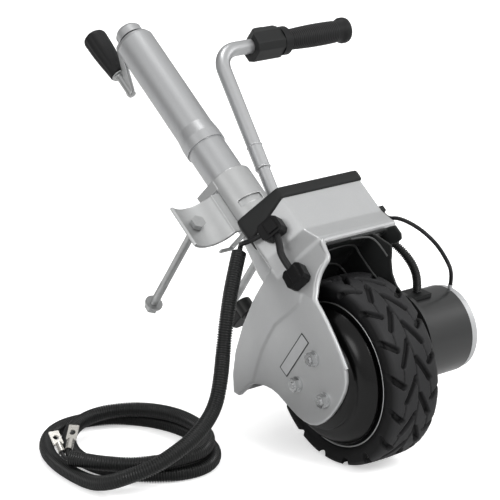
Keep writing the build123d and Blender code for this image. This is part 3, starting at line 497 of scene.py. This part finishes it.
def makeCover(settings):
    bm = bmesh.new()
    for outline in settings["outlines"]:
        low = [bm.verts.new(p) for p in outline]
        high = [bm.verts.new((x, y, settings["top"])) for x, y, z in outline]
        bm.faces.new(low[::-1])
        bm.faces.new(high)
        for i in range(len(outline)):
            j = (i + 1) % len(outline)
            bm.faces.new((low[i], low[j], high[j], high[i]))
    bmesh.ops.recalc_face_normals(bm, faces=bm.faces)
    mesh = bpy.data.meshes.new("coverOutline")
    bm.to_mesh(mesh)
    bm.free()
    return softened("boxCover", mesh, settings["voxel"], settings["rounds"], settings["keep"])


dress(makeCover(cover), "fork", "grainedAbs", ("top_cover",))

# Rolled rim of the box's lip, which goes on down the shoulder and the cheek's front edge. The fourth number is its radius.
rolledRim = [
    (127.4, 96, 133.6, 5.4), (127.4, 0, 133.6, 5.4), (127.4, -28, 133.6, 5.2), (129.6, -36.0, 131.5, 4.4), (130.2, -39.6, 118, 3.6),
    (129.6, -42.4, 103.4, 3.6), (119.9, -48.8, 99.6, 3.6), (111.1, -55, 94.3, 3.6), (101.7, -63.1, 83, 3.6), (96.2, -68.1, 73, 3.5),
    (92.2, -72.5, 67, 3.4), (90.5, -72.5, 46, 3.4), (84.8, -72.5, 20, 3.4), (75.8, -72.5, -10, 3.4), (67.5, -72.5, -33, 3.2)]
# Folds of the liner, on the side that faces the tyre, drawn paler than the liner as a painted highlight along each
# ridge
ridgeRadius = 0.0015
linerRidges = {
    "linerRidge1": [(130.6, 10, 123.6), (130.2, 36, 122.8), (129.7, 47.5, 116), (129.9, 49.8, 98), (129, 49.8, 84)],
    "linerRidge2": [(102.4, -10.5, 132), (107, 0.7, 131), (106.9, 22.4, 131), (97, 42, 132.6), (86.5, 49.6, 126),
                    (86.3, 49.8, 114.6), (85.6, 49.8, 87.8), (89.4, 49.8, 64.8)],
    "linerRidge3": [(58, 7, 138.6), (56.6, 26.2, 138.7), (44, 45, 139), (40.5, 49.6, 133), (41, 49.8, 122.6)]}


def variedCurve(name, points):
    piece = routeCurve(name, leaned([p[:3] for p in points]), 0.001)
    for knot, point in zip(piece.data.splines[0].points, points):
        knot.radius = point[3]
    return piece


dress(variedCurve("rolledRim", rolledRim), "fork", "silverLacquerCasting")
for name, points in linerRidges.items():
    dress(routeCurve(name, leaned(points), ridgeRadius), "fork", "paintedHighlightPolyethylene")


# Tyre: a closed profile turned round the axle, with the grooves pressed into its crown.
# The grooves start at the radius fadeFrom and reach their depth fadeOver further out.
tyre = {"pitches": 16, "stepsPerPitch": 48, "radius": 130.0, "spacing": 1.15, "fadeFrom": 113.5, "fadeOver": 10.0,
        "grooveDepth": 7.0, "innerWidth": 8.2, "outerWidth": 8.6, "sipeWidth": 1.6, "edge": 1.2,
        "sidewall": [(92, -31), (96, -32.6), (100.6, -34.2), (102.4, -36.6), (104.2, -39.2), (105.6, -39.9), (107, -40.9),
                     (110.5, -42.1)],
        "crown": [(113.5, -42.45), (117, -42.5), (120.5, -42.1), (123.6, -40.9), (126.2, -38.6), (128, -35.2), (129, -30.5),
                  (129.6, -22), (129.9, -11), (130, 0)],
        "inside": [(92, 20), (104, 26), (116, 26), (116, 0), (116, -26), (104, -26), (92, -20)]}


def distanceToRun(point, start, end):
    run = end - start
    share = max(0.0, min(1.0, (point - start).dot(run) / run.length_squared))
    return (point - start - run * share).length


# How deep the tread is cut, 0 to 1, at s round the tyre and u from its middle, both in millimetres
def treadCut(s, u, pitch):
    side = 1 if u >= 0 else -1
    s = s if side > 0 else s + pitch / 2
    u = abs(u)
    deepest = 0.0
    for turn in (-1, 0, 1, 2):
        point = Vector((s - turn * pitch, u))
        runs = [
            ((3.0, 0.0), (20.5, -31.0), tyre["innerWidth"], 1.0),
            ((47.0, 9.0), (24.0, -9.0), tyre["outerWidth"], 1.0),
            ((20.5, -31.0), (24.0, -9.0 - pitch), tyre["sipeWidth"], 0.45),
            ((1.2, 0.0), (-1.2, -pitch / 2), tyre["sipeWidth"], 0.5),
            ((1.2, 0.0), (-1.2, pitch / 2), tyre["sipeWidth"], 0.5),
        ]
        for (uStart, sStart), (uEnd, sEnd), width, depth in runs:
            far = distanceToRun(point, Vector((sStart, uStart)), Vector((sEnd, uEnd)))
            edge = (width / 2 + tyre["edge"] / 2 - far) / tyre["edge"]
            if edge > 0:
                edge = min(edge, 1.0)
                deepest = max(deepest, depth * edge * edge * (3 - 2 * edge))
    return deepest


def alongProfile(points, spacing):
    made = []
    for (r0, y0), (r1, y1) in zip(points, points[1:]):
        count = max(1, round(math.hypot(r1 - r0, y1 - y0) / spacing))
        made += [(r0 + (r1 - r0) * i / count, y0 + (y1 - y0) * i / count) for i in range(count)]
    return made + [points[-1]]


def makeTyre():
    half = alongProfile(tyre["crown"], tyre["spacing"])
    crown = half + [(r, -y) for r, y in half[-2::-1]]
    middle = len(half) - 1
    reach = [0.0] * len(crown)
    for i in range(middle + 1, len(crown)):
        reach[i] = reach[i - 1] + math.dist(crown[i], crown[i - 1])
        reach[2 * middle - i] = -reach[i]
    walls = tyre["sidewall"]
    profile = walls + crown + [(r, -y) for r, y in walls[::-1]] + tyre["inside"]
    steps = tyre["pitches"] * tyre["stepsPerPitch"]
    pitch = 2 * math.pi * tyre["radius"] / tyre["pitches"]
    cuts = []
    for step in range(tyre["stepsPerPitch"]):
        cuts.append([treadCut(step / tyre["stepsPerPitch"] * pitch, u, pitch) for u in reach])
    inward = []
    for i, (r, y) in enumerate(crown):
        (ra, ya), (rb, yb) = crown[max(i - 1, 0)], crown[min(i + 1, len(crown) - 1)]
        size = math.hypot(rb - ra, yb - ya)
        fade = min(1.0, (r - tyre["fadeFrom"]) / tyre["fadeOver"])
        inward.append((-(yb - ya) / size * fade, (rb - ra) / size * fade))
    bm = bmesh.new()
    rings = []
    for step in range(steps):
        angle = 2 * math.pi * step / steps
        row = cuts[step % tyre["stepsPerPitch"]]
        ring = []
        for i, (r, y) in enumerate(profile):
            k = i - len(walls)
            if 0 <= k < len(crown):
                cut = row[k] * tyre["grooveDepth"]
                r, y = r + inward[k][0] * cut, y + inward[k][1] * cut
            ring.append(bm.verts.new((r * math.cos(angle), y, r * math.sin(angle))))
        rings.append(ring)
    for ring, following in zip(rings, rings[1:] + rings[:1]):
        for i in range(len(profile)):
            j = (i + 1) % len(profile)
            bm.faces.new((ring[i], ring[j], following[j], following[i]))
    return pieceFromBmesh("treadTyre", bm, wheelToFrame)


treadTyre = makeTyre()
dress(treadTyre, "wheel", "tyreRubber", ("tyre",))
print("dolly: tyre made,", len(treadTyre.data.polygons), "faces")


# Turned pieces: a profile of radius and height round an axis, with flutes along it where they are asked for
def latheAlong(name, profile, start, heading, sides, flute=0.0, flutes=0, fluteSpan=(0, 0)):
    heading = heading.normalized()
    across = heading.orthogonal().normalized()
    up = heading.cross(across)
    bm = bmesh.new()
    rings = []
    for r, h in profile:
        ring = []
        for k in range(sides):
            a = 2 * math.pi * k / sides
            size = r
            if flutes and fluteSpan[0] <= h <= fluteSpan[1]:
                size -= flute * (0.5 + 0.5 * math.cos(a * flutes)) ** 4
            ring.append(bm.verts.new(start + heading * (h / 1000) + (across * math.cos(a) + up * math.sin(a)) * (size / 1000)))
        rings.append(ring)
    for low, high in zip(rings, rings[1:]):
        for k in range(sides):
            bm.faces.new((low[k], low[(k + 1) % sides], high[(k + 1) % sides], high[k]))
    if profile[0] != profile[-1]:
        bm.faces.new(rings[0][::-1])
        bm.faces.new(rings[-1])
    return pieceFromBmesh(name, bm)


axleSides = 160


def latheOnAxle(name, profile):
    return latheAlong(name, profile + [profile[0]], uprightToFrame @ Vector((0, 0, 0)), Vector((0, 1, 0)), axleSides)


# Hub cover: a pressed dome with a round shoulder and a rolled edge
hubDome = [(45, -69), (69, -69), (69.8, -68.2), (70, -61.4), (71, -60.4), (75.5, -60.2), (79.5, -59.3), (83.4, -57.4), (87, -54.6),
           (90.2, -51.2), (93, -47.4), (95.2, -43.8), (97, -41.2), (96.6, -40.4), (94.4, -40.4), (92.6, -42.6), (88, -48.4),
           (81.5, -54), (78, -56.5), (45, -56.5)]
dress(latheOnAxle("hubDome", hubDome), "fork", "blackEnamel", ("hub_cover",))

# Bright bead where the rim's flange meets the tyre
rimBead = {"radius": 101.2, "place": -36.6, "thick": 1.1}


def makeRimBead():
    angles = [a * math.pi / 6 for a in range(12)]
    profile = [(rimBead["radius"] + rimBead["thick"] * math.cos(a), rimBead["place"] + rimBead["thick"] * math.sin(a))
               for a in angles]
    return latheOnAxle("rimBead", profile)


dress(makeRimBead(), "wheel", "zincPressing")


# Handle grip: soft rubber, a little thicker in the middle, shallow rings to hold by, and an end flange
handleGrip = {"start": (49.17, 210.0, 544.0), "bore": 11.2, "radius": 15.4, "bulge": 2.4, "ringsFrom": 5, "ringsLength": 96,
              "ringPitch": 3.6, "ringDepth": 0.45, "sides": 48,
              "flange": [(16.5, 104), (17.3, 107.6), (19.2, 109.8), (20.1, 112), (20.1, 117.6), (19.4, 120.4), (17, 122.4),
                         (12, 123), (0.01, 123), (0.01, 121)]}


def makeHandleGrip():
    start = uprightToFrame @ Vector(handleGrip["start"])
    profile = [(handleGrip["bore"], 0.0), (14.4, 0.0), (15.2, 0.8), (15.4, 2.0)]
    flangeFoot = handleGrip["flange"][0][1]
    for i in range(int(handleGrip["ringsLength"] / handleGrip["ringPitch"])):
        h = handleGrip["ringsFrom"] + i * handleGrip["ringPitch"]
        barrel = handleGrip["radius"] + handleGrip["bulge"] * math.sin(min(1.0, h / flangeFoot) * math.pi * 0.8)
        for step, drop in ((0.0, 0.0), (0.5, 0.0), (0.7, 1.0), (0.85, 1.0)):
            profile.append((barrel - handleGrip["ringDepth"] * drop, h + step * handleGrip["ringPitch"]))
    profile += handleGrip["flange"]
    profile += [(handleGrip["bore"], handleGrip["flange"][-1][1]), profile[0]]
    return latheAlong("handleGripSleeve", profile, start, Vector((0, 1, 0)), handleGrip["sides"])


dress(makeHandleGrip(), "fork", "gripRubber", ("handle_grip",))

# Crank grip: tapered, eight shallow flutes
crankGrip = {"start": (-66, -4.5, 623.4), "radius": 13.9, "taper": 4.6, "step": 5.2, "flute": 1.1, "flutes": 8,
             "fluteSpan": (8, 74), "sides": 64}


def makeCrankGrip():
    start = uprightToFrame @ Vector(crankGrip["start"])
    heading = (uprightToFrame.to_3x3() @ Vector((0, 0, 1))).normalized()
    profile = [(4.1, 0), (12.4, 0), (13.4, 0.9), (13.7, 2.4), (13.7, 5)]
    profile += [(crankGrip["radius"] + crankGrip["taper"] * math.sin(i / 12 * math.pi / 2), 7 + i * crankGrip["step"])
                for i in range(13)]
    profile += [(18.8, 73), (18.4, 76.4), (17.0, 79.4), (14.4, 81.4), (11.6, 82.3), (8, 82.4), (8, 76.2), (4.1, 76.2)]
    profile.append(profile[0])
    return latheAlong("crankGripSleeve", profile, start, heading, crankGrip["sides"], crankGrip["flute"], crankGrip["flutes"],
                      crankGrip["fluteSpan"])


dress(makeCrankGrip(), "crank_grip", "gripRubber", ("crank_grip",))
print("dolly: grips made")


# Weld beads at both ends of the handle's sleeve
welds = {"heading": (0.17838, 0.11892, 1.0), "ripple": 0.35, "ripples": 15, "rippleSpan": (-1.3, 1.0), "sides": 90, "beads": {
    "sleeveWeldLow": ((14.03, 57.49, 347.0), [(9.4, -2.4), (10.9, -2.0), (11.8, -0.6), (12.0, 0.6), (11.3, 1.6), (9.4, 1.8)]),
    "sleeveWeldHigh": ((20.45, 61.77, 383.0), [(10.6, -1.6), (11.6, -1.2), (12.1, -0.2), (11.9, 0.9), (10.6, 1.5)])}}
for name, (place, profile) in welds["beads"].items():
    heading = (uprightToFrame.to_3x3() @ Vector(welds["heading"])).normalized()
    bead = latheAlong(name, profile + [profile[0]], uprightToFrame @ Vector(place), heading, welds["sides"], welds["ripple"],
                      welds["ripples"], welds["rippleSpan"])
    dress(bead, "fork", "silverLacquerTube")

# Screw threads on the two long clamp bolts, up to the nuts
threads = {"radius": 6.25, "root": 5.6, "pitch": 1.75, "length": 62, "sides": 28, "height": 293.0,
           "bolts": [(-86.0, -203.0), (86.0, -265.0)]}


def makeThreads():
    bm = bmesh.new()
    perTurn = threads["sides"]
    turns = int(threads["length"] / threads["pitch"])
    for y, end in threads["bolts"]:
        rows = []
        for k in range(turns * perTurn + 1):
            a = 2 * math.pi * k / perTurn
            x = end + k / perTurn * threads["pitch"]
            row = []
            for size, shift in ((threads["root"], 0.0), (threads["radius"], 0.4), (threads["radius"], 0.6), (threads["root"], 1.0)):
                along = x + (shift - 0.5) * threads["pitch"]
                row.append(bm.verts.new((along, y + size * math.cos(a), threads["height"] + size * math.sin(a))))
            rows.append(row)
        for low, high in zip(rows, rows[1:]):
            for i in range(4):
                j = (i + 1) % 4
                bm.faces.new((low[i], low[j], high[j], high[i]))
        bm.faces.new(rows[0][::-1])
        bm.faces.new(rows[-1])
    return pieceFromBmesh("boltThreads", bm, uprightToFrame)


dress(makeThreads(), "jack_tube", "zincPlate")


# Blank plate of thin aluminium on the cheek, slightly slanted, with a dark printed edge
nameplate = {"corners": [(37.5, 55.0), (38.0, 36.6), (-40.2, 37.0), (-40.9, 55.6)], "back": -76.02, "front": -76.55,
             "edge": 1.5, "bevel": 0.12}


def plateSlab(name, corners, back, front):
    bm = bmesh.new()
    low = [bm.verts.new((x, back, z)) for x, z in corners]
    high = [bm.verts.new((x, front, z)) for x, z in corners]
    bm.faces.new(low)
    bm.faces.new(high[::-1])
    for i in range(4):
        j = (i + 1) % 4
        bm.faces.new((low[i], high[i], high[j], low[j]))
    bmesh.ops.bevel(bm, geom=list(bm.edges), offset=nameplate["bevel"], segments=1, affect="EDGES")
    return pieceFromBmesh(name, bm, uprightToFrame)


def makeNameplate(settings):
    middle = [sum(c[i] for c in settings["corners"]) / 4 for i in (0, 1)]
    inner = []
    for x, z in settings["corners"]:
        inner.append((x - math.copysign(settings["edge"], x - middle[0]), z - math.copysign(settings["edge"], z - middle[1])))
    frameSlab = plateSlab("plateEdge", settings["corners"], settings["back"], settings["front"])
    dress(frameSlab, "fork", "smoothAbs")
    blank = plateSlab("blankPlate", inner, settings["back"], settings["front"] - settings["bevel"])
    dress(blank, "fork", "dieCastAluminium")
    for piece in (frameSlab, blank):
        for face in piece.data.polygons:
            face.use_smooth = False


makeNameplate(nameplate)


# Stage and light
# The floor and the world are white to the camera. To the dolly the floor is pale grey, and the world is brighter on one side.
stageSettings = {"size": 40.0, "floor": "#e4e4e4", "lift": 0.42, "brightSide": (0.72, 0.2, 0.66), "dark": 0.04, "bright": 0.95}


def makeStage(settings):
    bm = bmesh.new()
    bmesh.ops.create_grid(bm, x_segments=1, y_segments=1, size=settings["size"] / 2)
    piece = pieceFromBmesh("studioFloor", bm, Matrix.Translation((0, 0, floorHeight)))
    material = bpy.data.materials.new("matPaperSweep")
    material.use_nodes = True
    tree = material.node_tree
    tree.nodes.clear()
    ray = addNode(tree, "LightPath")
    seen = ray.outputs["Is Camera Ray"]
    colour = addNode(tree, "MixRGB", {"Color1": linear(settings["floor"]), "Color2": (1, 1, 1, 1)}, {"Fac": seen})
    shader = addNode(tree, "BsdfDiffuse", {"Roughness": 0.5}, {"Color": colour.outputs["Color"]})
    lift = addNode(tree, "Math", {"operation": "MULTIPLY", 1: settings["lift"]}, {0: seen})
    glow = addNode(tree, "Emission", {"Color": (1, 1, 1, 1)}, {"Strength": lift.outputs["Value"]})
    both = addNode(tree, "AddShader", None, {0: shader.outputs["BSDF"], 1: glow.outputs["Emission"]})
    addNode(tree, "OutputMaterial", None, {"Surface": both.outputs["Shader"]})
    piece.data.materials.append(material)
    world = bpy.data.worlds.new("paleStudio")
    world.use_nodes = True
    tree = world.node_tree
    tree.nodes.clear()
    ray = addNode(tree, "LightPath")
    heading = addNode(tree, "TexCoord").outputs["Generated"]
    side = addNode(tree, "VectorMath", {"operation": "DOT_PRODUCT", 1: settings["brightSide"]}, {0: heading})
    studio = addNode(tree, "MapRange", {"From Min": -1.0, "From Max": 1.0, "To Min": settings["dark"],
                                        "To Max": settings["bright"]}, {"Value": side.outputs["Value"]})
    strength = addNode(tree, "MixRGB", {"Color2": (1, 1, 1, 1)},
                       {"Fac": ray.outputs["Is Camera Ray"], "Color1": studio.outputs["Result"]})
    background = addNode(tree, "Background", {"Color": (1, 1, 1, 1)}, {"Strength": strength.outputs["Color"]})
    addNode(tree, "OutputWorld", None, {"Surface": background.outputs["Background"]})
    scene.world = world


lampAim = Vector((0.05, 0, -0.05))
lamps = [
    {"name": "keySoftbox", "place": (2.5, 0.2, 2.1), "size": 1.1, "power": 33},
    {"name": "fillSoftbox", "place": (0.6, -2.6, 1.4), "size": 1.4, "power": 18},
    {"name": "topSoftbox", "place": (-1.0, 0.2, 2.6), "size": 1.2, "power": 20},
    {"name": "backSoftbox", "place": (1.0, 2.4, 1.2), "size": 1.2, "power": 9},
]


def makeLamps():
    for lamp in lamps:
        data = bpy.data.lights.new(lamp["name"], "AREA")
        data.shape = "DISK"
        data.size = lamp["size"]
        data.energy = lamp["power"]
        piece = bpy.data.objects.new(lamp["name"], data)
        piece.location = lamp["place"]
        aim = lampAim - Vector(lamp["place"])
        piece.rotation_euler = aim.to_track_quat("-Z", "Y").to_euler()
        scene.collection.objects.link(piece)


makeStage(stageSettings)
makeLamps()
scene.view_settings.view_transform = "Standard"
print("dolly: stage and light set")
